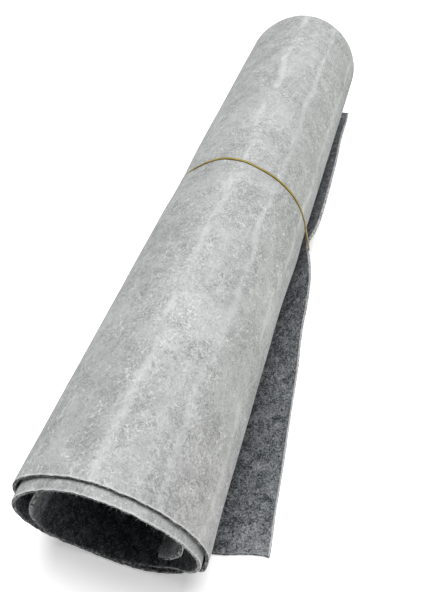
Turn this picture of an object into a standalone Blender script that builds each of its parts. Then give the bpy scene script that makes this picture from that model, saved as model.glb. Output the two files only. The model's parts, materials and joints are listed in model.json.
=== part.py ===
"""A roll of felt held by an elastic band, at real size in metres, +Z up.

The felt is one flat sheet, rolled up the way its maker rolls it. The axis of the roll
runs along Y, with the near end at the lowest Y. The sheet starts at a loose flap that
lies out to +X, runs under the roll, and winds left, over the top and down the right
side, almost three turns inward, to a free inner end that curls away from the layers.
"""

import math
from bisect import bisect_right
from collections import namedtuple

import bmesh
import bpy
from mathutils import Vector
from mathutils.geometry import convex_hull_2d

MM = 0.001

# The sheet and the roll that it makes
SHEET_WIDTH = 450 * MM
FELT_THICKNESS = 2.0 * MM
LAYER_GAP = 0.7 * MM
ROLL_RADIUS = 50.4 * MM
FLAT_SPOT_DEPTH = 0.55 * MM
LAYER_PITCH = FELT_THICKNESS + LAYER_GAP
START_RADIUS = ROLL_RADIUS + LAYER_PITCH / 2
AXIS_X = LAYER_PITCH / 4
AXIS_Z = START_RADIUS - FLAT_SPOT_DEPTH
FLAT_SPOT_REACH = 0.1

# The free inner end, which leaves the layers at this turn and follows its own bends
# inward. Its bends are a little softer in the deep of the roll.
INNER_END_TURN = 2.66
INNER_END_DEEP_SHARE = 0.8
INNER_END_TURN_LENGTH = 280 * MM
Bend = namedtuple("Bend", "length degrees columns")
INNER_END_BENDS = (
    Bend(9 * MM, 40, 4),
    Bend(17 * MM, 22, 4),
    Bend(9 * MM, 64, 6),
)

# The flap, which runs flat from under the roll and then bends up against it
FLAP_FLAT_START = 5 * MM
FLAP_BEND_RADIUS = 50 * MM

# The elastic band and the waist that it draws into the roll
BAND_WIDTH = 1.5 * MM
BAND_THICKNESS = 1.0 * MM
BAND_CLEARANCE = 0.3 * MM
BAND_CORNER = 0.3 * MM
BAND_PLACE = 228 * MM
BAND_SLANT = -0.05
BAND_TURN_STEP = math.radians(6)
BAND_OUTLINE_STEPS = 144
WAIST_DEPTH = 0.7 * MM
WAIST_FLAT_REACH = 10 * MM
WAIST_REACH = 48 * MM
UNDERSIDE_LIFT = 0.8 * MM

# How finely the sheet is divided
FLAP_COLUMNS = 8
COLUMNS_PER_TURN = 36

# Sections across the sheet, from its near edge: the flap's length from under the roll,
# the part of that length that is bent up, and how far the inner layer hangs loose
Section = namedtuple("Section", "place flap_length flap_bent looseness")
SECTIONS = (
    Section(0, 78.0, 0, 1.00),
    Section(20, 76.2, 0, 0.92),
    Section(45, 74.4, 0, 0.82),
    Section(80, 71.4, 0, 0.70),
    Section(120, 68.2, 2, 0.58),
    Section(155, 66.9, 11, 0.45),
    Section(180, 68.2, 26, 0.36),
    Section(198, 69.6, 39, 0.31),
    Section(210, 70.0, 45, 0.30),
    Section(222, 69.6, 46, 0.30),
    Section(233, 69.0, 44, 0.30),
    Section(246, 68.4, 41, 0.31),
    Section(270, 67.2, 38, 0.34),
    Section(305, 65.0, 34, 0.40),
    Section(345, 62.4, 30, 0.46),
    Section(385, 59.8, 25, 0.52),
    Section(420, 57.0, 17, 0.58),
    Section(450, 53.2, 7, 0.62),
)

# How far the sheet's near and far edges stand along Y from a square cut. A place below
# zero is a share of the flap, and one above zero counts turns from under the roll.
EdgeShift = namedtuple("EdgeShift", "place near far")
EDGE_SHIFTS = (
    EdgeShift(-1.00, 20.0, 7.0),
    EdgeShift(-0.62, 12.5, 5.0),
    EdgeShift(0.00, 5.0, 3.0),
    EdgeShift(0.25, -3.5, -2.5),
    EdgeShift(0.37, -2.3, -4.5),
    EdgeShift(0.50, 0.2, 0.0),
    EdgeShift(0.75, -2.2, -1.0),
    EdgeShift(0.85, -4.4, -2.0),
    EdgeShift(0.90, -6.8, -2.4),
    EdgeShift(1.00, -8.0, -3.0),
    EdgeShift(1.30, -10.2, -5.0),
    EdgeShift(1.50, -5.2, -6.0),
    EdgeShift(1.75, -6.2, -7.0),
    EdgeShift(1.86, -5.0, -7.2),
    EdgeShift(2.00, -8.4, -7.5),
    EdgeShift(2.30, -9.4, -8.0),
    EdgeShift(2.50, -6.0, -8.5),
    EdgeShift(2.66, -6.6, -8.5),
    EdgeShift(2.79, -7.6, -9.0),
)

# How far the layers stand in from an even winding at the near end
Slack = namedtuple("Slack", "turn inward")
SLACK_LAYERS = (
    Slack(0.10, 0.0),
    Slack(0.28, -1.2),
    Slack(0.45, 0.0),
    Slack(0.60, 0.0),
    Slack(0.76, -1.0),
    Slack(0.92, 0.0),
    Slack(2.14, 0.0),
    Slack(2.18, 0.8),
    Slack(2.23, 3.8),
    Slack(2.29, 6.0),
    Slack(2.35, 4.4),
    Slack(2.41, 0.8),
    Slack(2.47, 0.0),
    Slack(2.60, 0.0),
)

PALE_FELT = (0.521, 0.539, 0.533, 1.0)
AMBER_RUBBER = (0.323, 0.198, 0.013, 1.0)


def clear_scene():
    """Removes every object, so that the script starts from an empty scene."""
    for old_object in list(bpy.data.objects):
        bpy.data.objects.remove(old_object, do_unlink=True)


def smooth_value(rows, column, place):
    """Reads a smooth curve through one column of a table, by the table's first column."""
    places = [row[0] for row in rows]
    values = [getattr(row, column) for row in rows]
    if place <= places[0]:
        return values[0]
    if place >= places[-1]:
        return values[-1]
    steps = [after - before for before, after in zip(places, places[1:])]
    slopes = [(after - before) / step for before, after, step in zip(values, values[1:], steps)]

    def slope_at(index):
        if index == 0 or index == len(slopes):
            return 0.0
        before, after = slopes[index - 1], slopes[index]
        if before * after <= 0.0:
            return 0.0
        return 2.0 * before * after / (before + after)

    index = bisect_right(places, place) - 1
    step = steps[index]
    share = (place - places[index]) / step
    rest = 1.0 - share
    ends = values[index] * (1 + 2 * share) * rest**2 + values[index + 1] * (3 - 2 * share) * share**2
    slants = slope_at(index) * share * rest**2 - slope_at(index + 1) * rest * share**2
    return ends + step * slants


def grip_at(along):
    """The band's grip on the roll at a place along its axis, from 0 to 1."""
    distance = abs(along - BAND_PLACE) - WAIST_FLAT_REACH
    share = min(max(distance / (WAIST_REACH - WAIST_FLAT_REACH), 0.0), 1.0)
    return 1.0 - share * share * (3.0 - 2.0 * share)


def column_places():
    """The places of the sheet's columns: shares of the flap below zero, then turns."""
    places = [step / FLAP_COLUMNS - 1.0 for step in range(FLAP_COLUMNS)]
    wound_columns = round(INNER_END_TURN * COLUMNS_PER_TURN)
    places += [INNER_END_TURN * step / wound_columns for step in range(wound_columns + 1)]
    for bend in INNER_END_BENDS:
        step = bend.length / INNER_END_TURN_LENGTH / bend.columns
        places += [places[-1] + step * (column + 1) for column in range(bend.columns)]
    return places


def edge_shift(place, section_place):
    """How far a point stands along Y from where a square cut would put it."""
    across = section_place * MM / SHEET_WIDTH
    near = smooth_value(EDGE_SHIFTS, "near", place)
    far = smooth_value(EDGE_SHIFTS, "far", place)
    return (near * (1.0 - across) + far * across) * MM


def flap_point(share, section_place, grip):
    """A point of the flap's outer face, a share of its length from under the roll."""
    length = smooth_value(SECTIONS, "flap_length", section_place) * MM
    bent = smooth_value(SECTIONS, "flap_bent", section_place) * MM
    distance = share * length
    flat = min(distance, FLAP_FLAT_START)
    angle = min(max(distance - FLAP_FLAT_START, 0.0), bent) / FLAP_BEND_RADIUS
    straight = max(distance - FLAP_FLAT_START - bent, 0.0)
    x = flat + FLAP_BEND_RADIUS * math.sin(angle) + straight * math.cos(angle)
    z = FLAP_BEND_RADIUS * (1.0 - math.cos(angle)) + straight * math.sin(angle)
    return AXIS_X + x, z + grip * (WAIST_DEPTH + UNDERSIDE_LIFT)


def inner_end_offset(distance, share):
    """Where the free inner end lies a distance along it, from where it leaves the layers."""
    heading = 2.0 * math.pi * INNER_END_TURN
    x, z = 0.0, 0.0
    for bend in INNER_END_BENDS:
        length = min(bend.length, distance)
        rate = math.radians(bend.degrees) * share / bend.length
        x += (math.sin(heading) - math.sin(heading + rate * length)) / rate
        z += (math.cos(heading) - math.cos(heading + rate * length)) / rate
        heading += rate * length
        distance -= length
    return x, z


def wound_point(turn, section_place, grip):
    """A point of the wound layers' outer face, in turns from under the roll."""
    looseness = smooth_value(SECTIONS, "looseness", section_place)
    layer_turn = min(turn, INNER_END_TURN)
    angle = 2.0 * math.pi * layer_turn
    underside = max(math.cos(angle), 0.0) ** 2
    inward = grip * (WAIST_DEPTH + UNDERSIDE_LIFT * underside)
    inward += smooth_value(SLACK_LAYERS, "inward", turn) * looseness * MM
    radius = START_RADIUS - LAYER_PITCH * layer_turn - inward
    x = AXIS_X - radius * math.sin(angle)
    z = AXIS_Z - radius * math.cos(angle)
    layer = round(turn)
    if abs(turn - layer) < FLAT_SPOT_REACH:
        z = max(z, layer * LAYER_PITCH + grip * (WAIST_DEPTH + UNDERSIDE_LIFT))
    if turn > INNER_END_TURN:
        distance = (turn - INNER_END_TURN) * INNER_END_TURN_LENGTH
        bend_share = INNER_END_DEEP_SHARE + (1.0 - INNER_END_DEEP_SHARE) * looseness
        shift_x, shift_z = inner_end_offset(distance, bend_share)
        x += shift_x
        z += shift_z
    return x, z


def felt_point(place, section_place):
    """A point of the sheet's pale outer face as the sheet lies rolled up."""
    along = section_place * MM + edge_shift(place, section_place)
    if place < 0.0:
        x, z = flap_point(-place, section_place, grip_at(along))
    else:
        x, z = wound_point(place, section_place, grip_at(along))
    return Vector((x, along, z))


def make_material(name, colour, roughness):
    """A plain Principled material."""
    material = bpy.data.materials.new(name)
    material.use_nodes = True
    shader = material.node_tree.nodes["Principled BSDF"]
    shader.inputs["Base Color"].default_value = colour
    shader.inputs["Roughness"].default_value = roughness
    shader.inputs["Metallic"].default_value = 0.0
    return material


def finish_object(name, mesh, material, parent):
    """Puts a mesh in the scene as a named, smoothly shaded object."""
    mesh.materials.append(material)
    mesh.shade_smooth()
    mesh.set_sharp_from_angle(angle=math.radians(40))
    new_object = bpy.data.objects.new(name, mesh)
    bpy.context.collection.objects.link(new_object)
    new_object.parent = parent
    return new_object


def add_thickness(new_object, thickness):
    """Thickens a surface inward, away from its outer face."""
    solidify = new_object.modifiers.new("Thickness", "SOLIDIFY")
    solidify.thickness = thickness
    solidify.offset = -1.0
    solidify.use_even_offset = True
    solidify.use_quality_normals = True


def build_felt(parent):
    """The one felt sheet: a flat grid, rolled up point by point and then thickened."""
    places = column_places()
    columns = len(places) - 1
    rows = len(SECTIONS) - 1
    sheet = bmesh.new()
    bmesh.ops.create_grid(sheet, x_segments=columns, y_segments=rows, size=0.5)
    for corner in sheet.verts:
        column = round((corner.co.x + 0.5) * columns)
        row = round((corner.co.y + 0.5) * rows)
        corner.co = felt_point(places[column], SECTIONS[row].place)
    mesh = bpy.data.meshes.new("felt_roll")
    sheet.to_mesh(mesh)
    sheet.free()
    felt = finish_object("felt_roll", mesh, make_material("pale_grey_felt", PALE_FELT, 0.95), parent)
    add_thickness(felt, FELT_THICKNESS)
    return felt


def band_outline():
    """The roll's outline where the band grips it, as a taut loop around its outer face."""
    points = []
    for step in range(-BAND_OUTLINE_STEPS, BAND_OUTLINE_STEPS + 1):
        place = step / BAND_OUTLINE_STEPS
        section_place = (BAND_PLACE - edge_shift(place, BAND_PLACE / MM)) / MM
        points.append(felt_point(place, section_place).xz)
    return [points[index] for index in convex_hull_2d(points)]


def offset_loop(points, distance):
    """Moves a convex loop outward, with a point for each small step that it turns."""
    moved = []
    first_edge = points[0] - points[-1]
    last_heading = math.atan2(first_edge.y, first_edge.x)
    for index, point in enumerate(points):
        edge = points[(index + 1) % len(points)] - point
        turned = (math.atan2(edge.y, edge.x) - last_heading) % (2.0 * math.pi)
        for step in range(round(turned // BAND_TURN_STEP)):
            last_heading += BAND_TURN_STEP
            moved.append(point + distance * Vector((math.sin(last_heading), -math.cos(last_heading))))
    return moved


def build_band(parent):
    """The elastic band: a flat closed ring around the roll and the flap's outer edge."""
    reach = BAND_CLEARANCE + BAND_THICKNESS
    loop = offset_loop(band_outline(), reach)
    ring = bmesh.new()
    corners = [ring.verts.new((point.x, BAND_SLANT * point.x - BAND_WIDTH / 2, point.y)) for point in loop]
    edges = [ring.edges.new((corners[index - 1], corners[index])) for index in range(len(corners))]
    extruded = bmesh.ops.extrude_edge_only(ring, edges=edges)
    moved = [part for part in extruded["geom"] if isinstance(part, bmesh.types.BMVert)]
    bmesh.ops.translate(ring, verts=moved, vec=(0.0, BAND_WIDTH, 0.0))
    bmesh.ops.recalc_face_normals(ring, faces=ring.faces)
    mesh = bpy.data.meshes.new("elastic_band")
    ring.to_mesh(mesh)
    ring.free()
    band = finish_object("elastic_band", mesh, make_material("amber_rubber", AMBER_RUBBER, 0.5), parent)
    band.location = (0.0, BAND_PLACE, 0.0)
    add_thickness(band, BAND_THICKNESS)
    bevel = band.modifiers.new("Soft corners", "BEVEL")
    bevel.width = BAND_CORNER
    bevel.segments = 1
    return band


def centre_part(parent, felt):
    """Moves the part so that its box is centred over the origin, standing on z = 0."""
    across = [corner.co.x for corner in felt.data.vertices]
    along = [corner.co.y for corner in felt.data.vertices]
    middle_x = (min(across) + max(across)) / 2
    middle_y = (min(along) + max(along)) / 2
    parent.location = (-middle_x, -middle_y, 0.0)


def main():
    clear_scene()
    roll_frame = bpy.data.objects.new("roll_frame", None)
    bpy.context.collection.objects.link(roll_frame)
    felt = build_felt(roll_frame)
    build_band(roll_frame)
    centre_part(roll_frame, felt)


main()
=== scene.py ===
"""A roll of two-tone felt held by an elastic band, as it looks.

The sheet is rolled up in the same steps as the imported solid, more finely and on nearly
the same sections, and each of its faces gets its own felt. The axis of the roll runs
along Y, with the near end at the lowest Y. The sheet starts at the loose flap that lies
out to +X, and winds left, over the top and down the right side, to a free inner end.
"""

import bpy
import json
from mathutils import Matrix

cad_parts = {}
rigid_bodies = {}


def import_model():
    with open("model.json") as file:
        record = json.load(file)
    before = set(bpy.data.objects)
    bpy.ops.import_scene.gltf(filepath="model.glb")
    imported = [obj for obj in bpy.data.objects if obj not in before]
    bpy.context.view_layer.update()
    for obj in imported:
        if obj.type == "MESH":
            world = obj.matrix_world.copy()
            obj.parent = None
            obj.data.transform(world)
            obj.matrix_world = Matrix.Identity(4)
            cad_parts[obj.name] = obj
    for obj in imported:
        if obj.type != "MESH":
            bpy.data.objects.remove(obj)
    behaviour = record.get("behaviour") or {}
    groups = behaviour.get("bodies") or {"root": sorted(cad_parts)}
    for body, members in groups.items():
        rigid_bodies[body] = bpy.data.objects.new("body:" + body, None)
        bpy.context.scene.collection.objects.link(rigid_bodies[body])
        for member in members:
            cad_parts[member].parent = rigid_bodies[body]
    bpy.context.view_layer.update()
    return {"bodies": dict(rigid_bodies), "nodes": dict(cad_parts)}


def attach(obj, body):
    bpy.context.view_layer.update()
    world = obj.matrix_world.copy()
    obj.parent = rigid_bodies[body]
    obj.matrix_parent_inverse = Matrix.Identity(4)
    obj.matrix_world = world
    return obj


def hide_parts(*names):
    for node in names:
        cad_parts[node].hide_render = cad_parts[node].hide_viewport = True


bl_info = {
    "name": "Roll of felt",
    "version": (1, 0, 0),
    "blender": (4, 5, 0),
    "location": "3D View > Sidebar > Felt roll",
    "description": "Finishes a roll of two-tone felt that a thin elastic band holds",
    "category": "Add Mesh",
}

import json
import math
import random
from bisect import bisect_right
from collections import namedtuple
from functools import lru_cache

import bmesh
import bpy
from bpy.props import FloatProperty, FloatVectorProperty, IntProperty, PointerProperty
from mathutils import Vector, noise
from mathutils.geometry import convex_hull_2d

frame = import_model()
MM = 0.001

# The sheet and the roll that it makes, with a flat spot underneath that can reach a part
# of a turn to either side
SHEET_WIDTH = 450 * MM
FELT_THICKNESS = 2.0 * MM
LAYER_GAP = 0.7 * MM
ROLL_RADIUS = 50.4 * MM
FLAT_SPOT_DEPTH = 0.55 * MM
LAYER_PITCH = FELT_THICKNESS + LAYER_GAP
START_RADIUS = ROLL_RADIUS + LAYER_PITCH / 2
AXIS_X = LAYER_PITCH / 4
AXIS_Z = START_RADIUS - FLAT_SPOT_DEPTH
FLAT_SPOT_REACH = 0.1

# The free inner end, which leaves the layers at this turn and follows its own bends
# inward. Its bends are a little softer in the deep of the roll, and places along it
# count on in turns of a fixed length.
INNER_END_TURN = 2.66
INNER_END_DEEP_SHARE = 0.8
INNER_END_TURN_LENGTH = 280 * MM
Bend = namedtuple("Bend", "length degrees columns")
INNER_END_BENDS = (
    Bend(9 * MM, 40, 8),
    Bend(17 * MM, 22, 10),
    Bend(9 * MM, 64, 12),
)

# The flap, which runs flat from under the roll and then bends up against it
FLAP_FLAT_START = 5 * MM
FLAP_BEND_RADIUS = 50 * MM

# The elastic band, the waist that it draws into the roll, and how far it lifts the felt
# off the ground
BAND_PLACE = 228 * MM
BAND_SLANT = -0.05
BAND_PRESS = 0.1 * MM
BAND_TURN_STEP = math.radians(3)
BAND_OUTLINE_STEPS = 360
BAND_CORNER_SEGMENTS = 3
WAIST_DEPTH = 0.7 * MM
WAIST_FLAT_REACH = 6 * MM
WAIST_REACH = 40 * MM
UNDERSIDE_LIFT = 0.8 * MM

# How far the band strays along the roll from its plane and how deep it sinks into the
# felt, in millimetres, by the angle around the roll from the top towards the flap, in
# degrees
Stray = namedtuple("Stray", "angle along sunk")
BAND_STRAYS = (
    Stray(-180, -2.5, 0.0),
    Stray(-125, -2.0, 0.0),
    Stray(-98, -1.5, 0.9),
    Stray(-66, -2.4, 0.9),
    Stray(-56, -3.0, 0.2),
    Stray(-50, -3.5, 0.0),
    Stray(-40, -1.8, 0.0),
    Stray(-28, 0.8, 0.0),
    Stray(-12, 0.4, 0.0),
    Stray(-1, -1.2, 0.0),
    Stray(17, -1.6, 0.0),
    Stray(40, -1.9, 0.0),
    Stray(62, -2.4, 0.0),
    Stray(78, 0.2, 0.0),
    Stray(92, 2.2, 0.0),
    Stray(125, 1.0, 0.0),
    Stray(180, -2.5, 0.0),
)

# Sections across the sheet, in millimetres from its near edge: the flap's length from
# under the roll, the part of that length that is bent up, how loose the layers are as a
# share of the slack below, and how far the side over the flap is drawn in
Section = namedtuple("Section", "place flap_length flap_bent looseness drawn_in")
SECTIONS = (
    Section(0, 78.0, 0, 1.00, 0.0),
    Section(20, 76.2, 0, 0.92, 0.7),
    Section(45, 74.4, 0, 0.82, 1.1),
    Section(80, 71.4, 0, 0.70, 1.3),
    Section(120, 68.2, 2, 0.58, 1.6),
    Section(155, 65.2, 11, 0.45, 1.9),
    Section(180, 68.4, 26, 0.36, 1.4),
    Section(192, 70.4, 35, 0.32, 0.9),
    Section(204, 69.4, 43, 0.30, 0.4),
    Section(213, 66.8, 46, 0.30, 0.3),
    Section(222, 65.2, 47, 0.30, 0.3),
    Section(233, 67.6, 44, 0.30, 0.4),
    Section(246, 68.0, 41, 0.31, 0.5),
    Section(270, 67.0, 38, 0.34, 0.8),
    Section(305, 64.8, 34, 0.40, 0.8),
    Section(345, 62.2, 30, 0.46, 0.6),
    Section(385, 58.2, 25, 0.52, 0.4),
    Section(420, 56.0, 17, 0.58, 0.3),
    Section(450, 53.2, 7, 0.62, 0.3),
)

# How far the sheet's near and far edges stand along Y from a square cut, in millimetres.
# A place below zero is a share of the flap, and one above zero counts turns from under
# the roll.
Shift = namedtuple("Shift", "place near far")
EDGE_SHIFTS = (
    Shift(-1.00, 20.0, 7.0),
    Shift(-0.62, 12.5, 5.0),
    Shift(0.00, 5.0, 3.0),
    Shift(0.25, -3.5, -2.5),
    Shift(0.37, -2.3, -4.5),
    Shift(0.50, 0.2, 0.0),
    Shift(0.75, -2.6, -1.0),
    Shift(0.78, -5.4, -1.4),
    Shift(0.80, -5.4, -1.6),
    Shift(0.825, -3.8, -1.8),
    Shift(0.85, -4.0, -2.0),
    Shift(0.88, -5.7, -2.2),
    Shift(0.92, -7.0, -2.4),
    Shift(0.96, -7.9, -2.7),
    Shift(1.00, -8.3, -3.0),
    Shift(1.06, -8.5, -3.4),
    Shift(1.13, -9.7, -3.8),
    Shift(1.18, -10.4, -4.2),
    Shift(1.24, -10.6, -4.6),
    Shift(1.31, -10.0, -5.0),
    Shift(1.50, -5.2, -6.0),
    Shift(1.75, -6.2, -7.0),
    Shift(1.82, -6.4, -7.1),
    Shift(1.88, -4.4, -7.3),
    Shift(1.94, -5.8, -7.4),
    Shift(2.00, -7.9, -7.5),
    Shift(2.06, -8.4, -7.6),
    Shift(2.13, -9.8, -7.8),
    Shift(2.28, -9.4, -8.0),
    Shift(2.35, -7.4, -8.2),
    Shift(2.43, -2.8, -8.4),
    Shift(2.61, -2.6, -8.5),
    Shift(2.67, -5.0, -8.5),
    Shift(2.70, -7.2, -8.8),
    Shift(2.79, -7.6, -9.0),
)

# How far the layers stand in from an even winding where they are loosest, in millimetres
Slack = namedtuple("Slack", "turn inward")
SLACK_LAYERS = (
    Slack(0.10, 0.0),
    Slack(0.28, -0.6),
    Slack(0.45, 0.0),
    Slack(0.60, 0.0),
    Slack(0.76, -1.0),
    Slack(0.86, -1.1),
    Slack(0.97, 0.0),
    Slack(1.60, 0.0),
    Slack(1.80, -0.9),
    Slack(1.90, -1.0),
    Slack(2.00, 0.0),
    Slack(2.14, 0.0),
    Slack(2.18, 0.8),
    Slack(2.23, 3.8),
    Slack(2.29, 6.0),
    Slack(2.35, 4.4),
    Slack(2.41, 0.8),
    Slack(2.47, 0.0),
    Slack(2.60, 0.0),
)

# How finely the sheet is divided: the flap's columns, those of a turn, the narrow ones at
# its two ends, the cuts through its thickness, and the rows of each zone across it, which
# are closest at the cut edges and at the band
FLAP_COLUMNS = 34
COLUMNS_PER_TURN = 144
EDGE_COLUMN = 0.4 * MM
FLAP_EDGE_COLUMNS = (1, 4)
EDGE_CUTS = 4
Zone = namedtuple("Zone", "end rows")
ROW_ZONES = (
    Zone(0.4, 1),
    Zone(3.0, 3),
    Zone(15.0, 4),
    Zone(212.0, 26),
    Zone(222.0, 4),
    Zone(234.0, 10),
    Zone(246.0, 4),
    Zone(435.0, 24),
    Zone(447.0, 3),
    Zone(449.6, 3),
    Zone(450.0, 1),
)

# The felt's own unevenness: soft swells of the whole sheet, and the raggedness of its cut
SWELL_HEIGHT = 0.2 * MM
SWELL_LENGTH = 38 * MM
SWELL_SEED = 11.7
RAGGED_REACH = 4 * MM
RAGGED_DEPTH = 0.45 * MM
RAGGED_LENGTH = 4 * MM
NEAR_CUT_SEED = 3.1
FAR_CUT_SEED = 8.6
EDGE_BULGE = 0.5 * MM
BULGE_UNEVENNESS = 0.6

# The sheet's map is measured at this many millimetres from the near edge, where the
# sheet is this long
MAP_SECTION = 110
SHEET_LENGTH = 906 * MM

# Stripes across the pale face, by how far they lie from the flap's outer edge: smooth streaks
# with a clear core, and broad soft tones, lighter or darker. The broad tones are partly the
# felt's own and partly painted light and shade: a painted highlight along the top of the roll,
# painted shade on its left side and painted light on its right side
Stripe = namedtuple("Stripe", "place width strength")
STREAKS = (
    Stripe(230 * MM, 3.4 * MM, 1.0),
    Stripe(259 * MM, 3.0 * MM, 0.9),
    Stripe(290 * MM, 3.0 * MM, 1.0),
)
STREAK_CORE = 0.3
STREAK_WANDER = 9 * MM
STREAK_RAGGEDNESS = 4 * MM
TONES_AND_PAINTED_LIGHT = (
    Stripe(236 * MM, 22 * MM, 0.10),
    Stripe(208 * MM, 18 * MM, -0.04),
    Stripe(252 * MM, 14 * MM, 0.035),
    Stripe(290 * MM, 16 * MM, 0.04),
)

# Where a face changes along the sheet from the flap's outer edge: softly, from the first
# place of a pair to the second
PALE_TOP = (195 * MM, 222 * MM)
WARM_MIDDLE = 283 * MM
WARM_REACH = (6 * MM, 32 * MM)
# Painted shade on the flap where it runs under the roll, and painted shade into the roll
FLAP_SHADE = (12 * MM, 32 * MM)
ROLLED_IN = (70 * MM, 130 * MM)
# Painted light on the innermost turn at the opening, from a slanting crease to its end, and on
# the curled inner end
CREASE = (739 * MM, 740.4 * MM)
CREASE_SLANT = 0.5
CREASE_END = (814 * MM, 844 * MM)
CURL = (881 * MM, 893 * MM)
OUTER_CUT = (0.1 * MM, 0.5 * MM)
# The inner layers' cut, lighter partly from its fuzz and partly as painted light
INNER_CUT = (520 * MM, 600 * MM)
INNER_CUT_END = (630 * MM, 680 * MM)
BARED_BACKING = (0.2 * MM, 1.0 * MM)
BARED_RAGGEDNESS = 1.4 * MM

# And where it changes across the sheet, from the near edge
STREAKS_CLEAR = (100 * MM, 300 * MM)
PALE_NEAR_END = (15 * MM, 110 * MM)
PALE_FAR_END = (340 * MM, 420 * MM)
# How far in from the near edge the painted light at the opening reaches, and how the painted
# shade deepens into the hollow
OPENING = (14 * MM, 30 * MM)
DEEP_IN = (8 * MM, 80 * MM)

# The frayed fibres along a cut, with a painted highlight on the rim, and the flap's near corner,
# where painted light lightens the dark face
FRINGE_REACH = 0.9 * MM
FLAP_CORNER = (0.0, 0.0, 0.0)
CORNER_LIGHT_REACH = 34 * MM

# How fibres lie in the sheet, in radians: the stretched sweeps of the pale face, and the
# crossed and the dark fibres among the others
SWEEP_TURNS = (0.3, 1.15, -0.6, -1.35)
SWEEP_STRETCH = (3.5, 1.0, 1.0)
CROSSED_TURN = 0.9
DARK_TURN = 2.1

# The stray fibres of the cut: how they spread about the way out of the felt, how much
# they bend, the share that the shortest have of the full length and how far short ones
# prevail, how deep they are rooted, how they thin out, and the points that each has
FIBRE_SEED = 7
FIBRE_SPREAD = 0.7
FIBRE_LEAN = 0.6
FIBRE_BEND = 0.275
FIBRE_SHORTEST = 0.25
FIBRE_SHORTNESS = 1.5
FIBRE_ROOT = 0.1 * MM
FIBRE_TAPER = 0.2
FIBRE_POINTS = 4

# What brings the roll's own coordinates into the frame
FRAME_SHIFT = Vector((-13.582, -223.171, 0.0)) * MM

# The names of the sheet's map and of the depth below its pale face, and the places of
# its second and third finish
SHEET_MAP = "sheet_metres"
DEPTH = "felt_depth"
DARK_SLOT = 1
EDGE_SLOT = 2

# The Mix node's sockets for colours. Their names repeat for each kind of value.
MIX_SHARE = 0
MIX_FIRST = 6
MIX_SECOND = 7
MIX_RESULT = 2

# The camera of the photograph, in the frame
CAMERA_PLACE = Vector((59.41, -288.09, 331.02)) * MM
CAMERA_PITCH = math.radians(51.12)
CAMERA_HEADING = math.radians(17.67)
IMAGE_HEIGHT = 592
FOCAL_PIXELS = 550
SENSOR = 36
NEAREST_SEEN = 0.01

# The overhead light, which leans a little from the back, the brightness of the white
# ground, and how far the floor lies below the roll
KEY_PLACE = (0.0, 0.0, 1.0)
KEY_TILT = (math.radians(-13), 0.0, 0.0)
GROUND_BRIGHTNESS = 1.2
FLOOR_DROP = 0.1 * MM


@lru_cache(maxsize=None)
def smooth_value(rows, column, place):
    """Reads a smooth curve through one column of a table, by the table's first column."""
    places = [row[0] for row in rows]
    values = [getattr(row, column) for row in rows]
    if place <= places[0]:
        return values[0]
    if place >= places[-1]:
        return values[-1]
    steps = [after - before for before, after in zip(places, places[1:])]
    slopes = [(after - before) / step for before, after, step in zip(values, values[1:], steps)]

    def slope_at(index):
        if index == 0 or index == len(slopes):
            return 0.0
        before, after = slopes[index - 1], slopes[index]
        if before * after <= 0.0:
            return 0.0
        return 2.0 * before * after / (before + after)

    index = bisect_right(places, place) - 1
    step = steps[index]
    share = (place - places[index]) / step
    rest = 1.0 - share
    start = values[index] * (1 + 2 * share) * rest**2
    end = values[index + 1] * (3 - 2 * share) * share**2
    slants = slope_at(index) * share * rest**2 - slope_at(index + 1) * rest * share**2
    return start + end + step * slants


def grip_at(along):
    """The band's grip on the roll at a place along its axis, from 0 to 1."""
    distance = abs(along - BAND_PLACE) - WAIST_FLAT_REACH
    share = min(max(distance / (WAIST_REACH - WAIST_FLAT_REACH), 0.0), 1.0)
    return 1.0 - share * share * (3.0 - 2.0 * share)


def column_places():
    """The places of the sheet's columns: shares of the flap below zero, then turns."""
    edge_share = EDGE_COLUMN / (SECTIONS[0].flap_length * MM)
    places = [-1.0] + [count * edge_share - 1.0 for count in FLAP_EDGE_COLUMNS]
    places += [step / FLAP_COLUMNS - 1.0 for step in range(1, FLAP_COLUMNS)]
    wound_columns = round(INNER_END_TURN * COLUMNS_PER_TURN)
    places += [INNER_END_TURN * step / wound_columns for step in range(wound_columns + 1)]
    for bend in INNER_END_BENDS:
        step = bend.length / INNER_END_TURN_LENGTH / bend.columns
        places += [places[-1] + step * (column + 1) for column in range(bend.columns)]
    places.insert(-1, places[-1] - EDGE_COLUMN / INNER_END_TURN_LENGTH)
    return places


def section_places():
    """The places of the sheet's rows, in millimetres from its near edge."""
    places = [0.0]
    for zone in ROW_ZONES:
        step = (zone.end - places[-1]) / zone.rows
        places += [places[-1] + step * (row + 1) for row in range(zone.rows)]
    return places


def edge_shift(place, section):
    """How far a point stands along Y from where a square cut would put it."""
    across = section * MM / SHEET_WIDTH
    near = smooth_value(EDGE_SHIFTS, "near", place)
    far = smooth_value(EDGE_SHIFTS, "far", place)
    return (near * (1.0 - across) + far * across) * MM


def flap_point(share, section, grip):
    """A point of the flap's outer face, a share of its length from under the roll."""
    length = smooth_value(SECTIONS, "flap_length", section) * MM
    bent = smooth_value(SECTIONS, "flap_bent", section) * MM
    distance = share * length
    flat = min(distance, FLAP_FLAT_START)
    angle = min(max(distance - FLAP_FLAT_START, 0.0), bent) / FLAP_BEND_RADIUS
    straight = max(distance - FLAP_FLAT_START - bent, 0.0)
    x = flat + FLAP_BEND_RADIUS * math.sin(angle) + straight * math.cos(angle)
    z = FLAP_BEND_RADIUS * (1.0 - math.cos(angle)) + straight * math.sin(angle)
    return AXIS_X + x, z + grip * (WAIST_DEPTH + UNDERSIDE_LIFT)


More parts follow.
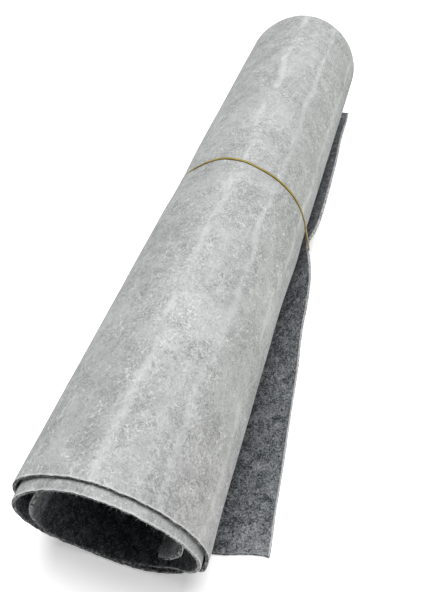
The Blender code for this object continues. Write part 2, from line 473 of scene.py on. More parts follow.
def inner_end_offset(distance, share):
    """Where the free inner end lies a distance along it, from where it leaves the layers."""
    heading = 2.0 * math.pi * INNER_END_TURN
    x, z = 0.0, 0.0
    for bend in INNER_END_BENDS:
        length = min(bend.length, distance)
        rate = math.radians(bend.degrees) * share / bend.length
        x += (math.sin(heading) - math.sin(heading + rate * length)) / rate
        z += (math.cos(heading) - math.cos(heading + rate * length)) / rate
        heading += rate * length
        distance -= length
    return x, z


def wound_point(turn, section, grip):
    """A point of the wound layers' outer face, in turns from under the roll."""
    looseness = smooth_value(SECTIONS, "looseness", section)
    layer_turn = min(turn, INNER_END_TURN)
    angle = 2.0 * math.pi * layer_turn
    underside = max(math.cos(angle), 0.0) ** 2
    inward = grip * (WAIST_DEPTH + UNDERSIDE_LIFT * underside)
    inward += smooth_value(SLACK_LAYERS, "inward", turn) * looseness * MM
    over_flap = max(-math.sin(angle), 0.0) ** 2
    inward += smooth_value(SECTIONS, "drawn_in", section) * over_flap * MM
    radius = START_RADIUS - LAYER_PITCH * layer_turn - inward
    x = AXIS_X - radius * math.sin(angle)
    z = AXIS_Z - radius * math.cos(angle)
    layer = round(turn)
    if abs(turn - layer) < FLAT_SPOT_REACH:
        z = max(z, layer * LAYER_PITCH + grip * (WAIST_DEPTH + UNDERSIDE_LIFT))
    if turn > INNER_END_TURN:
        distance = (turn - INNER_END_TURN) * INNER_END_TURN_LENGTH
        bend_share = INNER_END_DEEP_SHARE + (1.0 - INNER_END_DEEP_SHARE) * looseness
        shift_x, shift_z = inner_end_offset(distance, bend_share)
        x += shift_x
        z += shift_z
    return x, z


def felt_point(place, section):
    """A point of the sheet's pale outer face as the sheet lies rolled up."""
    along = section * MM + edge_shift(place, section)
    if place < 0.0:
        x, z = flap_point(-place, section, grip_at(along))
    else:
        x, z = wound_point(place, section, grip_at(along))
    return Vector((x, along, z))


class Signal:
    """One output of a node, with sums and products that add Math nodes."""

    def __init__(self, nodes, socket):
        self.nodes = nodes
        self.socket = socket

    def maths(self, operation, first, second=0.0):
        """A Math node's result for one or two values."""
        return self.nodes.add("Math", {"operation": operation}, {0: first, 1: second})

    def __add__(self, other):
        return self.maths("ADD", self, other)

    def __radd__(self, other):
        return self.maths("ADD", other, self)

    def __sub__(self, other):
        return self.maths("SUBTRACT", self, other)

    def __rsub__(self, other):
        return self.maths("SUBTRACT", other, self)

    def __mul__(self, other):
        return self.maths("MULTIPLY", self, other)

    def __rmul__(self, other):
        return self.maths("MULTIPLY", other, self)

    def __abs__(self):
        return self.maths("ABSOLUTE", self)

    def lower(self, other):
        """The lower of this value and another."""
        return self.maths("MINIMUM", self, other)

    def higher(self, other):
        """The higher of this value and another."""
        return self.maths("MAXIMUM", self, other)

    def clamped(self):
        """The same signal, kept between 0 and 1."""
        return self.nodes.add("Clamp", {}, {"Value": self})

    def between(self, low, high):
        """A soft step from 0 at low to 1 at high."""
        settings = {"interpolation_type": "SMOOTHSTEP"}
        sockets = {"Value": self, "From Min": low, "From Max": high}
        return self.nodes.add("MapRange", settings, sockets)


class Nodes:
    """The nodes of one tree."""

    def __init__(self, tree):
        self.tree = tree

    def add(self, kind, settings, sockets, output=0):
        """Adds a shader node with its settings, and the values or links of its sockets."""
        node = self.tree.nodes.new("ShaderNode" + kind)
        for name, value in settings.items():
            setattr(node, name, value)
        for name, value in sockets.items():
            self.feed(node.inputs[name], value)
        return Signal(self, node.outputs[output])

    def feed(self, socket, value):
        """Links a signal to a socket, or sets the socket's own value."""
        if isinstance(value, Signal):
            self.tree.links.new(value.socket, socket)
        else:
            socket.default_value = value

    def vector_maths(self, operation, first, second):
        """The number that a Vector Math node makes of two vectors."""
        sockets = {0: first, 1: second}
        return self.add("VectorMath", {"operation": operation}, sockets, output="Value")


class Finish(Nodes):
    """The material of one surface, and the nodes that its pattern is made of."""

    def __init__(self, name):
        self.material = bpy.data.materials.new(name)
        self.material.use_nodes = True
        super().__init__(self.material.node_tree)
        self.shader = self.tree.nodes["Principled BSDF"]

    def sheet_place(self):
        """Metres along and across the felt as it was cut."""
        return self.add("UVMap", {"uv_map": SHEET_MAP}, {})

    def object_place(self):
        """Metres in the frame."""
        return self.add("TexCoord", {}, {}, output="Object")

    def along_and_across(self, place):
        """The two sheet places apart: from the flap's outer edge, and from the near edge."""
        return [self.add("SeparateXYZ", {}, {0: place}, output) for output in "XY"]

    def stretched(self, place, scale, turn=0.0):
        """The place in a pattern that is stretched by its scale, and turned in the sheet."""
        sockets = {"Vector": place, "Scale": scale, "Rotation": (0.0, 0.0, turn)}
        return self.add("Mapping", {"vector_type": "TEXTURE"}, sockets)

    def turned(self, place, turn):
        """The place in a pattern that is only turned in the sheet."""
        return self.stretched(place, (1.0, 1.0, 1.0), turn)

    def clouds(self, place, size, detail=2.0, distortion=0.0, flat=True):
        """Soft noise from 0 to 1, with lumps about as wide as size."""
        settings = {"noise_dimensions": "2D" if flat else "3D"}
        sockets = {"Vector": place, "Scale": 1.0 / size}
        sockets.update({"Detail": detail, "Distortion": distortion})
        return self.add("TexNoise", settings, sockets)

    def fibres(self, place, size, width, distortion=1.2, flat=True):
        """Thin curly lines, about size apart: 1 on a fibre and 0 off it."""
        lumps = self.clouds(place, size, detail=1.0, distortion=distortion, flat=flat)
        return 1.0 - abs(lumps - 0.5).between(0.0, width)

    def mix(self, share, first, second, blend="MIX"):
        """A colour between two, or one laid over the other."""
        settings = {"data_type": "RGBA", "blend_type": blend}
        sockets = {MIX_SHARE: share, MIX_FIRST: first, MIX_SECOND: second}
        return self.add("Mix", settings, sockets, output=MIX_RESULT)

    def finish(self, colour, roughness, height, rise, **values):
        """Feeds the shader what changes over the surface, with bumps that rise so far."""
        sockets = {"Height": height, "Distance": rise, "Strength": 1.0}
        self.feed(self.shader.inputs["Base Color"], colour)
        self.feed(self.shader.inputs["Roughness"], roughness)
        self.feed(self.shader.inputs["Normal"], self.add("Bump", {}, sockets))
        self.constants(**values)
        return self.material

    def constants(self, **values):
        """Sets what is the same all over, by the shader's own socket names."""
        for name, value in values.items():
            socket = name.replace("_", " ").title().replace("Ior", "IOR")
            self.shader.inputs[socket].default_value = value


def with_alpha(colour):
    """A colour as a node's socket takes it."""
    return (*colour, 1.0)


def fringe_and_rim_highlight(felt, place):
    """1 close to the sheet's four cut edges, where the fibres are frayed and a painted highlight
    lies along the rim, and 0 elsewhere.
    """
    length, across = felt.along_and_across(place)
    from_ends = length.lower(SHEET_LENGTH - length)
    from_sides = across.lower(SHEET_WIDTH - across)
    wander = FRINGE_REACH * (felt.clouds(place, 2.0 * MM) - 0.5)
    return 1.0 - (from_ends.lower(from_sides) + wander).between(0.0, FRINGE_REACH)


def stripes(length, rows, core):
    """The sum of stripes across the sheet, even over the core of their width and soft outside."""
    total = 0.0
    for stripe in rows:
        off_middle = abs(length - stripe.place)
        fading = off_middle.between(core * stripe.width, stripe.width)
        total = total + stripe.strength * (1.0 - fading)
    return total


def smooth_streaks(felt, place):
    """How much the few smooth streaks across the sheet show, from 0 to 1.

    They wander a little, are ragged and broken, and are clearer towards the far end.
    """
    length, across = felt.along_and_across(place)
    wander = (felt.clouds(place, 30 * MM, detail=1.0) - 0.5) * STREAK_WANDER
    ragged = (felt.clouds(place, 2.5 * MM, distortion=1.0) - 0.5) * STREAK_RAGGEDNESS
    broken = felt.clouds(felt.stretched(place, (1.0, 4.0, 1.0)), 9 * MM, distortion=0.5)
    clearer = 0.75 + 0.25 * across.between(*STREAKS_CLEAR)
    shown = stripes(length + wander + ragged, STREAKS, STREAK_CORE)
    return shown * clearer * broken.between(0.35, 0.55)


def sweeps(felt, place, size, width):
    """Long fine fibres that cross each other in several directions, each from 0 to 1."""
    total = 0.0
    for turn in SWEEP_TURNS:
        lay = felt.stretched(place, SWEEP_STRETCH, turn)
        total = total + felt.fibres(lay, size, width, distortion=1.1)
    return total


def pale_face_material(settings):
    """The pale outer face: soft matted clouds with thin curly fibres all over them."""
    felt = Finish("pale_face")
    place = felt.sheet_place()
    length, across = felt.along_and_across(place)
    wide_clouds = felt.clouds(place, 60 * MM)
    mottling = felt.clouds(place, 12 * MM, detail=3.0, distortion=0.8)
    tufts = felt.clouds(place, 3.4 * MM, distortion=1.8)
    grain = felt.clouds(place, 1.1 * MM, detail=1.0, distortion=1.0)
    loops = felt.fibres(place, 6.0 * MM, 0.035, distortion=2.2)
    small_loops = felt.fibres(place, 3.4 * MM, 0.05, distortion=2.2)
    dark_loops = felt.fibres(felt.turned(place, DARK_TURN), 4.4 * MM, 0.05, distortion=2.0)
    streaks = smooth_streaks(felt, place)
    matted = felt.clouds(felt.stretched(place, (1.0, 1.6, 1.0)), 18 * MM, distortion=0.8)
    fibrous = (0.61 + 0.5 * matted.between(0.36, 0.62)) * (1.0 - 0.6 * streaks)
    fibres = (
        0.28 * (tufts - 0.5)
        + 0.12 * (grain - 0.5)
        + 0.28 * (loops - 0.25)
        + 0.20 * (small_loops - 0.3)
        + 0.13 * (sweeps(felt, place, 3.4 * MM, 0.04) - 1.2)
        - 0.27 * (dark_loops - 0.25)
    )
    lightness = (
        0.357
        # broad tones, partly the felt's own and partly painted light and shade across the roll
        + stripes(length, TONES_AND_PAINTED_LIGHT, 0.0)
        - 0.03 * across.between(*PALE_FAR_END)
        + 0.26 * (wide_clouds - 0.5)
        + 0.32 * (mottling - 0.5)
        + fibrous * fibres
        + 0.13 * streaks
        # frayed fibres and a painted highlight along the cut edges
        + 0.30 * fringe_and_rim_highlight(felt, place)
    )
    shade, light = with_alpha(settings.pale_shade), with_alpha(settings.pale_light)
    tone = felt.mix(lightness.clamped(), shade, light)
    near_top = (1.0 - across.between(*PALE_NEAR_END)) * length.between(*PALE_TOP)
    neutral = felt.mix(near_top, tone, with_alpha(settings.pale_neutral), "MULTIPLY")
    warm_side = 1.0 - abs(length - WARM_MIDDLE).between(*WARM_REACH)
    colour = felt.mix(warm_side, neutral, with_alpha(settings.pale_warm), "MULTIPLY")
    height = 0.5 * tufts + 0.25 * loops + 0.2 * small_loops
    roughness = 0.88 + 0.1 * mottling
    return felt.finish(colour, roughness, height, 0.2 * MM, specular_ior_level=0.1)


def dark_face_level(felt, place):
    """How light the dark face is on the whole.

    It is lightest on the flap, and lightest of all at the flap's near corner, where painted light
    lies. Painted shade darkens it where the flap runs under the roll and into the roll, more so
    deeper in the hollow. At the opening, painted light lights the innermost turn from a crease
    on, and the curled inner end.
    """
    length, across = felt.along_and_across(place)
    from_corner = felt.vector_maths("DISTANCE", place, FLAP_CORNER)
    # painted light, lightest at the flap's near corner
    painted_corner_light = 1.0 - from_corner.between(0.0, CORNER_LIGHT_REACH)
    # painted shade where the flap runs under the roll
    painted_roll_shade = length.between(*FLAP_SHADE)
    # painted shade into the roll
    painted_shade_in_roll = length.between(*ROLLED_IN)
    from_crease = (length - CREASE_SLANT * across).between(*CREASE)
    creased = from_crease - length.between(*CREASE_END)
    curled = length.between(*CURL)
    opening = 1.0 - across.between(*OPENING)
    # painted light at the opening, on the innermost turn and the curled inner end
    lit = opening * (0.26 * creased + 0.55 * curled)
    # painted shade, deepest in the hollow
    deep = painted_shade_in_roll * (0.08 + 0.26 * across.between(*DEEP_IN))
    return 0.22 + 0.24 * painted_corner_light - 0.06 * painted_roll_shade - deep + lit


def outer_backing(length, tufts):
    """How much of the pale side the slanting cut bares along the flap's outer edge."""
    ragged = BARED_RAGGEDNESS * (tufts - 0.5)
    return 0.45 - 0.45 * (length + ragged).between(*BARED_BACKING)


def dark_face_material(settings):
    """The dark inner face: charcoal felt, flecked with lighter and near black fibres."""
    felt = Finish("dark_face")
    place = felt.sheet_place()
    mottling = felt.clouds(place, 7 * MM, distortion=0.6)
    tufts = felt.clouds(place, 2.2 * MM, distortion=1.6)
    grain = felt.clouds(place, 0.9 * MM, detail=1.0, distortion=1.0)
    light_fibres = felt.fibres(place, 2.6 * MM, 0.06)
    crossed_fibres = felt.fibres(felt.turned(place, CROSSED_TURN), 2.1 * MM, 0.06)
    black_fibres = felt.fibres(felt.turned(place, DARK_TURN), 3.4 * MM, 0.05)
    lightness = (
        dark_face_level(felt, place)
        + 0.60 * (mottling - 0.5)
        + 0.90 * (tufts - 0.5)
        + 0.85 * (grain - 0.5)
        + 0.30 * light_fibres
        + 0.22 * crossed_fibres
        - 0.22 * black_fibres
        # frayed fibres and a painted highlight along the cut edges
        + 0.25 * fringe_and_rim_highlight(felt, place)
    )
    shade, light = with_alpha(settings.dark_shade), with_alpha(settings.dark_light)
    dark = felt.mix(lightness.clamped(), shade, light)
    length = felt.along_and_across(place)[0]
    colour = felt.mix(outer_backing(length, tufts), dark, with_alpha(settings.pale_light))
    height = 0.5 * tufts + 0.3 * light_fibres + 0.2 * crossed_fibres
    return felt.finish(
        colour, 0.9 + 0.08 * mottling, height, 0.25 * MM,
        sheen_weight=0.03, sheen_roughness=0.5, specular_ior_level=0.1)


def cut_edge_material(settings):
    """The cut through the felt: pale backing on the outer side, flecked grey behind it."""
    felt = Finish("cut_edge")
    place = felt.object_place()
    depth = felt.add("Attribute", {"attribute_name": DEPTH}, {}, output="Fac")
    flecks = felt.clouds(place, 1.0 * MM, distortion=1.2, flat=False)
    tufts = felt.clouds(place, 2.0 * MM, flat=False)
    length = felt.along_and_across(felt.sheet_place())[0]
    outer_end = 1.0 - length.between(*OUTER_CUT)
    # the inner layers' cut is lighter, partly from its fuzz and partly as painted light where it
    # stands out in front
    inner_cut_fuzz_and_light = length.between(*INNER_CUT) - length.between(*INNER_CUT_END)
    backing = 1.0 - (depth + 0.35 * (tufts - 0.5)).between(0.02, 0.20)
    lightness = 0.20 + 0.28 * inner_cut_fuzz_and_light + 0.4 * outer_end
    core_share = (lightness + 2.6 * (flecks - 0.5) + 1.8 * (tufts - 0.5)).clamped()
    core = felt.mix(core_share, with_alpha(settings.edge_shade), with_alpha(settings.edge_light))
    colour = felt.mix(backing, core, with_alpha(settings.pale_light))
    height = 0.7 * flecks + 0.3 * tufts
    return felt.finish(
        colour, 0.9 + 0.1 * flecks, height, 0.4 * MM,
        sheen_weight=0.03, sheen_roughness=0.5, specular_ior_level=0.1)


def band_material(settings):
    """Amber rubber that lets a little light through."""
    rubber = Finish("amber_rubber")
    place = rubber.object_place()
    tone = rubber.clouds(place, 14 * MM, flat=False)
    grain = rubber.clouds(place, 0.5 * MM, flat=False)
    share = tone.between(0.3, 0.7)
    colour = rubber.mix(share, with_alpha(settings.shade), with_alpha(settings.light))
    return rubber.finish(
        colour, 0.42 + 0.12 * grain, grain, 0.03 * MM,
        subsurface_weight=0.2, subsurface_scale=1.0 * MM, specular_ior_level=0.45)


def smooth_mesh(name, shape):
    """Makes a mesh of a shape, which is used up."""
    mesh = bpy.data.meshes.new(name)
    shape.to_mesh(mesh)
    shape.free()
    mesh.shade_smooth()
    return mesh


def add_object(name, data):
    """Puts a mesh, a light or a camera in the scene."""
    made = bpy.data.objects.new(name, data)
    bpy.context.scene.collection.objects.link(made)
    return made


def add_piece(name, mesh, materials):
    """Puts a finished mesh in the scene as a piece that rides on the roll."""
    for material in materials:
        mesh.materials.append(material)
    piece = add_object(name, mesh)
    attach(piece, "root")
    return piece


def column_lengths(places):
    """Metres along the sheet to each column from the flap's outer edge, at the map's section."""
    points = [felt_point(place, MAP_SECTION) for place in places]
    lengths = [0.0]
    for before, after in zip(points, points[1:]):
        lengths.append(lengths[-1] + (after - before).length)
    return lengths


def raggedness(length, section):
    """How far the cut wanders across the sheet, close to its near and far edges."""
    from_near = section * MM
    wander = 0.0
    for inside, seed in ((from_near, NEAR_CUT_SEED), (SHEET_WIDTH - from_near, FAR_CUT_SEED)):
        share = max(1.0 - inside / RAGGED_REACH, 0.0)
        wander += share * noise.noise(Vector((length / RAGGED_LENGTH, seed, 0.0)))
    return RAGGED_DEPTH * wander


def swell(length, section):
    """How far the sheet stands out of its even winding."""
    place = Vector((length, section * MM, 0.0)) / SWELL_LENGTH
    place.z = SWELL_SEED
    return SWELL_HEIGHT * noise.noise(place)


def roll_up(sheet, places, rows, lengths):
    """Rolls the flat grid up, point by point, and gives it its map in metres."""
    map_layer = sheet.loops.layers.uv.new(SHEET_MAP)
    grid = {}
    for corner in sheet.verts:
        column = round((corner.co.x + 0.5) * (len(places) - 1))
        row = round((corner.co.y + 0.5) * (len(rows) - 1))
        grid[corner] = (lengths[column], rows[row])
        corner.co = felt_point(places[column], rows[row]) + FRAME_SHIFT
    for face in sheet.faces:
        for loop in face.loops:
            length, section = grid[loop.vert]
            loop[map_layer].uv = (length, section * MM)
    sheet.normal_update()
    for corner, (length, section) in grid.items():
        corner.co += corner.normal * swell(length, section)
        corner.co.y += raggedness(length, section)
        corner.co.z = max(corner.co.z, 0.0)
    sheet.normal_update()


def thicken(sheet, thickness):
    """Gives the rolled sheet its dark face and a soft cut edge all round."""
    depth = sheet.verts.layers.float.new(DEPTH)
    outer_faces = list(sheet.faces)
    inward = {corner: -thickness * corner.normal for corner in sheet.verts}
    outer_places = {tuple(corner.co): corner for corner in sheet.verts}
    made = bmesh.ops.extrude_face_region(sheet, geom=outer_faces, use_keep_orig=True)["geom"]
    inner_corners = [part for part in made if isinstance(part, bmesh.types.BMVert)]
    inner_faces = [part for part in made if isinstance(part, bmesh.types.BMFace)]
    for corner in inner_corners:
        corner.co += inward[outer_places[tuple(corner.co)]]
        corner[depth] = 1.0
    for face in inner_faces:
        face.material_index = DARK_SLOT
    through = [edge for edge in sheet.edges if edge.verts[0][depth] != edge.verts[1][depth]]
    cut = bmesh.ops.subdivide_edges(sheet, edges=through, cuts=EDGE_CUTS, use_grid_fill=True)
    for part in cut["geom_inner"]:
        if isinstance(part, bmesh.types.BMFace):
            part.material_index = EDGE_SLOT
    for face in sheet.faces:
        depths = [corner[depth] for corner in face.verts]
        if min(depths) < 1.0 and max(depths) > 0.0:
            face.material_index = EDGE_SLOT
    bmesh.ops.recalc_face_normals(sheet, faces=sheet.faces)
    sheet.normal_update()
    for corner in sheet.verts:
        if 0.0 < corner[depth] < 1.0:
            round_share = 1.0 - (2.0 * corner[depth] - 1.0) ** 2
            wander = 1.0 + BULGE_UNEVENNESS * noise.noise(corner.co / RAGGED_LENGTH)
            corner.co += corner.normal * EDGE_BULGE * round_share * wander
            corner.co.z = max(corner.co.z, 0.0)


class FeltSettings(bpy.types.PropertyGroup):
    """The felt sheet: its thickness, its colours and the stray fibres of its cut edge."""

    thickness: FloatProperty(
        name="Thickness", description="Thickness of the felt",
        default=FELT_THICKNESS, unit="LENGTH")
    pale_light: FloatVectorProperty(
        name="Pale face, light", description="The lightest matted fibres of the pale face",
        default=(0.802, 0.822, 0.816), subtype="COLOR")
    pale_shade: FloatVectorProperty(
        name="Pale face, shade", description="The thin greyer places of the pale face",
        default=(0.261, 0.271, 0.269), subtype="COLOR")
    pale_neutral: FloatVectorProperty(
        name="Pale face, neutral",
        description="The plainer grey of the pale face over the near end",
        default=(1.0, 0.978, 0.99), subtype="COLOR")
    pale_warm: FloatVectorProperty(
        name="Pale face, warm",
        description="The warmer grey of the pale face on the side over the flap",
        default=(1.0, 1.0, 0.975), subtype="COLOR")
    dark_light: FloatVectorProperty(
        name="Dark face, light", description="The light flecks of the charcoal face",
        default=(0.33, 0.345, 0.36), subtype="COLOR")
    dark_shade: FloatVectorProperty(
        name="Dark face, shade", description="The near black fibres of the charcoal face",
        default=(0.022, 0.026, 0.029), subtype="COLOR")
    edge_light: FloatVectorProperty(
        name="Cut edge, light", description="The light flecks of the cut edge",
        default=(0.55, 0.545, 0.53), subtype="COLOR")
    edge_shade: FloatVectorProperty(
        name="Cut edge, shade", description="The dark flecks of the cut edge",
        default=(0.035, 0.036, 0.036), subtype="COLOR")
    fibre_count: IntProperty(
        name="Edge fibres", description="Stray fibres along the cut edges", default=2600, min=0)
    fibre_length: FloatProperty(
        name="Fibre length", description="Length of the longest stray fibres",
        default=2.4 * MM, unit="LENGTH")
    fibre_radius: FloatProperty(
        name="Fibre radius", description="Half the thickness of a stray fibre",
        default=0.03 * MM, unit="LENGTH")


class BandSettings(bpy.types.PropertyGroup):
    """The elastic band: its section and colours."""

    width: FloatProperty(
        name="Width", description="Width of the band along the roll",
        default=1.5 * MM, unit="LENGTH")
    thickness: FloatProperty(
        name="Thickness", description="Thickness of the band", default=0.8 * MM, unit="LENGTH")
    corner: FloatProperty(
        name="Corner", description="Rounding of the band's corners",
        default=0.35 * MM, unit="LENGTH")
    light: FloatVectorProperty(
        name="Light amber", description="The lighter stretches of the rubber",
        default=(0.36, 0.275, 0.05), subtype="COLOR")
    shade: FloatVectorProperty(
        name="Dark amber", description="The darker stretches of the rubber",
        default=(0.22, 0.165, 0.024), subtype="COLOR")


class StageSettings(bpy.types.PropertyGroup):
    """The floor and the soft studio light."""

    floor_size: FloatProperty(
        name="Floor", description="Side of the square floor", default=6.0, unit="LENGTH")
    floor_colour: FloatVectorProperty(
        name="Floor colour", description="Colour of the floor",
        default=(0.96, 0.96, 0.96), subtype="COLOR")
    floor_glow: FloatProperty(
        name="Floor glow", description="How much the floor glows, as a light table does",
        default=0.3, min=0.0)
    room_light: FloatProperty(
        name="Room light", description="Strength of the soft light from all round",
        default=0.22, min=0.0)
    room_lean: FloatVectorProperty(
        name="Room light's lean",
        description="How much brighter the room is to the right, the back and above",
        default=(0.3, 0.5, 0.0), subtype="DIRECTION")
    key_light: FloatProperty(
        name="Key light", description="Strength of the wide light overhead", default=3.5, min=0.0)
    key_spread: FloatProperty(
        name="Key light's spread", description="Angle across the wide light overhead",
        default=math.radians(34), min=0.0, subtype="ANGLE")


class FELTROLL_OT_sheet(bpy.types.Operator):
    """Add the rolled felt sheet with its two faces and its cut edge"""

    bl_idname = "felt_roll.sheet"
    bl_label = "Felt sheet"

    def execute(self, context):
        settings = context.scene.felt_settings
        places = column_places()
        rows = section_places()
        sheet = bmesh.new()
        bmesh.ops.create_grid(
            sheet, x_segments=len(places) - 1, y_segments=len(rows) - 1, size=0.5)
        roll_up(sheet, places, rows, column_lengths(places))
        thicken(sheet, settings.thickness)
        makers = (pale_face_material, dark_face_material, cut_edge_material)
        finishes = [maker(settings) for maker in makers]
        piece = add_piece("felt_sheet", smooth_mesh("felt_sheet", sheet), finishes)
        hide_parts("felt_roll")
        return {"FINISHED"}


def scattered(scatter, spread):
    """A direction at random, longer or shorter by the spread."""
    return Vector([scatter.gauss(0.0, spread) for _ in range(3)])


class FELTROLL_OT_fibres(bpy.types.Operator):
    """Add the short stray fibres of the cut edge"""

    bl_idname = "felt_roll.fibres"
    bl_label = "Stray fibres"

    def execute(self, context):
        settings = context.scene.felt_settings
        sheet = bpy.data.objects["felt_sheet"]
        scatter = random.Random(FIBRE_SEED)
        rim = [face for face in sheet.data.polygons if face.material_index == EDGE_SLOT]
        # Blender lists these faces in another order on each run
        rim.sort(key=lambda face: face.center.x)
        strands = bpy.data.curves.new("edge_fibres", "CURVE")
        strands.dimensions = "3D"
        strands.bevel_depth = settings.fibre_radius
        strands.bevel_resolution = 0
        strands.use_fill_caps = True
        for _ in range(settings.fibre_count):
            face = scatter.choice(rim)
            heading = scattered(scatter, FIBRE_SPREAD) + FIBRE_LEAN * face.normal
            heading.normalize()
            bend = scattered(scatter, FIBRE_BEND)
            share = scatter.uniform(FIBRE_SHORTEST, 1.0) ** FIBRE_SHORTNESS
            length = settings.fibre_length * share
            spline = strands.splines.new("POLY")
            spline.points.add(FIBRE_POINTS - 1)
            point = face.center - FIBRE_ROOT * face.normal
            for index, knot in enumerate(spline.points):
                knot.co = (point.x, point.y, max(point.z, settings.fibre_radius), 1.0)
                knot.radius = 1.0 - FIBRE_TAPER * index
                point = point + heading * length / (FIBRE_POINTS - 1)
                heading = (heading + bend).normalized()
        holder = bpy.data.objects.new("edge_fibres_path", strands)
        mesh = bpy.data.meshes.new_from_object(holder)
        bpy.data.objects.remove(holder)
        mesh.name = "edge_fibres"
        mesh.materials.clear()
        mesh.shade_smooth()
        piece = add_piece("edge_fibres", mesh, (fibre_material(settings),))
        return {"FINISHED"}


def fibre_material(settings):
    """Stray fibres, some light and some dark."""
    strand = Finish("stray_fibre")
    tone = strand.clouds(strand.object_place(), 2.2 * MM, detail=1.0, flat=False)
    share = tone.between(0.4, 0.6)
    colour = strand.mix(share, with_alpha(settings.dark_light), with_alpha(settings.pale_light))
    roughness = 0.8 + 0.1 * tone
    return strand.finish(colour, roughness, tone, 0.01 * MM, specular_ior_level=0.2)


def band_outline():
    """The roll's outline where the band grips it, as a taut loop around its outer face."""
    points = []
    for step in range(-BAND_OUTLINE_STEPS, BAND_OUTLINE_STEPS + 1):
        place = step / BAND_OUTLINE_STEPS
        section = (BAND_PLACE - edge_shift(place, BAND_PLACE / MM)) / MM
        points.append(felt_point(place, section).xz)
    return [points[index] for index in convex_hull_2d(points)]


def offset_loop(points, distance):
    """Moves a convex loop outward, with a point for each small step that it turns."""
    moved = []
    first_edge = points[0] - points[-1]
    last_heading = math.atan2(first_edge.y, first_edge.x)
    for index, point in enumerate(points):
        edge = points[(index + 1) % len(points)] - point
        turned = (math.atan2(edge.y, edge.x) - last_heading) % (2.0 * math.pi)
        for _ in range(round(turned // BAND_TURN_STEP)):
            last_heading += BAND_TURN_STEP
            outward = Vector((math.sin(last_heading), -math.cos(last_heading)))
            moved.append(point + distance * outward)
    return moved


def band_middle(point):
    """Where the middle of the band runs in the frame, at a point of its flat loop."""
    from_axis = Vector((point.x + FRAME_SHIFT.x, point.y - ROLL_RADIUS))
    angle = math.degrees(math.atan2(from_axis.x, from_axis.y))
    along = BAND_PLACE + BAND_SLANT * point.x + smooth_value(BAND_STRAYS, "along", angle) * MM
    sunk = point - from_axis.normalized() * smooth_value(BAND_STRAYS, "sunk", angle) * MM
    return Vector((sunk.x, along, sunk.y)) + FRAME_SHIFT


class FELTROLL_OT_band(bpy.types.Operator):
    """Add the elastic band around the roll"""

    bl_idname = "felt_roll.band"
    bl_label = "Elastic band"

    def execute(self, context):
        settings = context.scene.band_settings
        loop = offset_loop(band_outline(), settings.thickness - BAND_PRESS)
        ring = bmesh.new()
        corners = []
        for point in loop:
            middle = band_middle(point)
            corners.append(ring.verts.new(middle - Vector((0.0, settings.width / 2, 0.0))))
        pairs = zip(corners[-1:] + corners[:-1], corners)
        edges = [ring.edges.new(pair) for pair in pairs]
        extruded = bmesh.ops.extrude_edge_only(ring, edges=edges)["geom"]
        moved = [part for part in extruded if isinstance(part, bmesh.types.BMVert)]
        bmesh.ops.translate(ring, verts=moved, vec=(0.0, settings.width, 0.0))
        bmesh.ops.recalc_face_normals(ring, faces=ring.faces)
        piece = add_piece("band", smooth_mesh("band", ring), (band_material(settings),))
        solidify = piece.modifiers.new("Thickness", "SOLIDIFY")
        solidify.thickness = settings.thickness
        solidify.offset = -1.0
        solidify.use_even_offset = True
        bevel = piece.modifiers.new("Round corners", "BEVEL")
        bevel.width = settings.corner
        bevel.segments = BAND_CORNER_SEGMENTS
        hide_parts("elastic_band")
        return {"FINISHED"}


def soft_room(settings):
    """The light from all round, dimmer on the side of the camera, before a white ground."""
    room = bpy.data.worlds.new("soft_room")
    room.use_nodes = True
    nodes = Nodes(room.node_tree)
    direction = nodes.add("TexCoord", {}, {})
    lean = nodes.vector_maths("DOT_PRODUCT", direction, settings.room_lean)
    glow = settings.room_light * (1.0 + lean).higher(0.0)
    seen = nodes.add("LightPath", {}, {})
    background = room.node_tree.nodes["Background"]
    strength = glow * (1.0 - seen) + GROUND_BRIGHTNESS * seen
    nodes.feed(background.inputs["Strength"], strength)
    nodes.feed(background.inputs["Color"], (1.0, 1.0, 1.0, 1.0))
    return room


def overhead_light(settings):
    """The wide soft light overhead."""
    lamp = bpy.data.lights.new("overhead", "SUN")
    lamp.energy = settings.key_light
    lamp.angle = settings.key_spread
    holder = add_object("overhead", lamp)
    holder.location = KEY_PLACE
    holder.rotation_euler = KEY_TILT


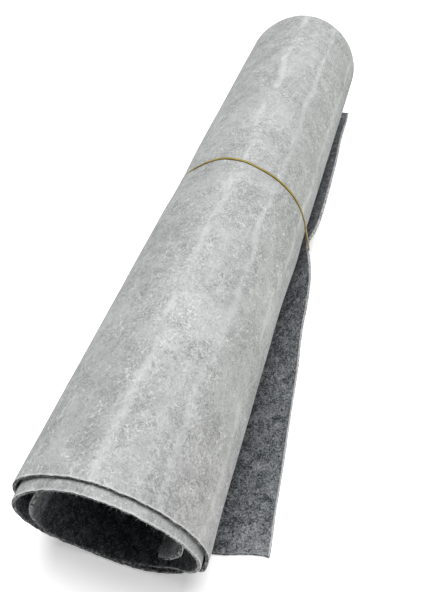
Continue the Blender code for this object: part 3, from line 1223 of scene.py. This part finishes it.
class FELTROLL_OT_stage(bpy.types.Operator):
    """Add the pale floor, the soft light and the photograph's camera"""

    bl_idname = "felt_roll.stage"
    bl_label = "Stage"

    def execute(self, context):
        settings = context.scene.stage_settings
        ground = bmesh.new()
        bmesh.ops.create_grid(ground, x_segments=1, y_segments=1, size=settings.floor_size / 2)
        bmesh.ops.translate(ground, verts=ground.verts, vec=(0.0, 0.0, -FLOOR_DROP))
        mesh = smooth_mesh("floor", ground)
        colour = with_alpha(settings.floor_colour)
        matt = Finish("pale_floor")
        matt.constants(base_color=colour, roughness=0.9)
        matt.constants(emission_color=colour, emission_strength=settings.floor_glow)
        mesh.materials.append(matt.material)
        floor = add_object("floor", mesh)

        context.scene.world = soft_room(settings)
        overhead_light(settings)
        context.scene.view_settings.view_transform = "Standard"

        lens = bpy.data.cameras.new("photo_camera")
        lens.sensor_width = SENSOR
        lens.lens = FOCAL_PIXELS / IMAGE_HEIGHT * SENSOR
        lens.clip_start = NEAREST_SEEN
        camera = add_object("photo_camera", lens)
        camera.location = CAMERA_PLACE
        camera.rotation_euler = (math.pi / 2 - CAMERA_PITCH, 0.0, CAMERA_HEADING)
        context.scene.camera = camera
        return {"FINISHED"}


class FELTROLL_PT_pieces(bpy.types.Panel):
    """Lists the pieces of the roll with their sizes and colours"""

    bl_idname = "FELTROLL_PT_pieces"
    bl_label = "Felt roll"
    bl_space_type = "VIEW_3D"
    bl_region_type = "UI"
    bl_category = "Felt roll"

    def draw(self, context):
        for operators, group in PANEL_ROWS:
            box = self.layout.box()
            for operator in operators:
                box.operator(operator)
            settings = getattr(context.scene, group)
            for name in settings.bl_rna.properties.keys():
                if name not in ("rna_type", "name"):
                    box.prop(settings, name)


PANEL_ROWS = (
    (("felt_roll.sheet", "felt_roll.fibres"), "felt_settings"),
    (("felt_roll.band",), "band_settings"),
    (("felt_roll.stage",), "stage_settings"),
)
SETTINGS = {
    "felt_settings": FeltSettings,
    "band_settings": BandSettings,
    "stage_settings": StageSettings,
}
CLASSES = (
    FeltSettings,
    BandSettings,
    StageSettings,
    FELTROLL_OT_sheet,
    FELTROLL_OT_fibres,
    FELTROLL_OT_band,
    FELTROLL_OT_stage,
    FELTROLL_PT_pieces,
)


def register():
    for new_class in CLASSES:
        bpy.utils.register_class(new_class)
    for name, group in SETTINGS.items():
        setattr(bpy.types.Scene, name, PointerProperty(type=group))


def unregister():
    for name in SETTINGS:
        delattr(bpy.types.Scene, name)
    for new_class in reversed(CLASSES):
        bpy.utils.unregister_class(new_class)


def clear_start_scene():
    """Removes what Blender's start scene holds, and keeps the frame."""
    kept = set(frame["nodes"].values()) | set(frame["bodies"].values())
    for old_object in list(bpy.data.objects):
        if old_object not in kept:
            bpy.data.objects.remove(old_object, do_unlink=True)


def main():
    register()
    clear_start_scene()
    bpy.ops.felt_roll.sheet()
    bpy.ops.felt_roll.fibres()
    bpy.ops.felt_roll.band()
    bpy.ops.felt_roll.stage()


if __name__ == "__main__":
    main()
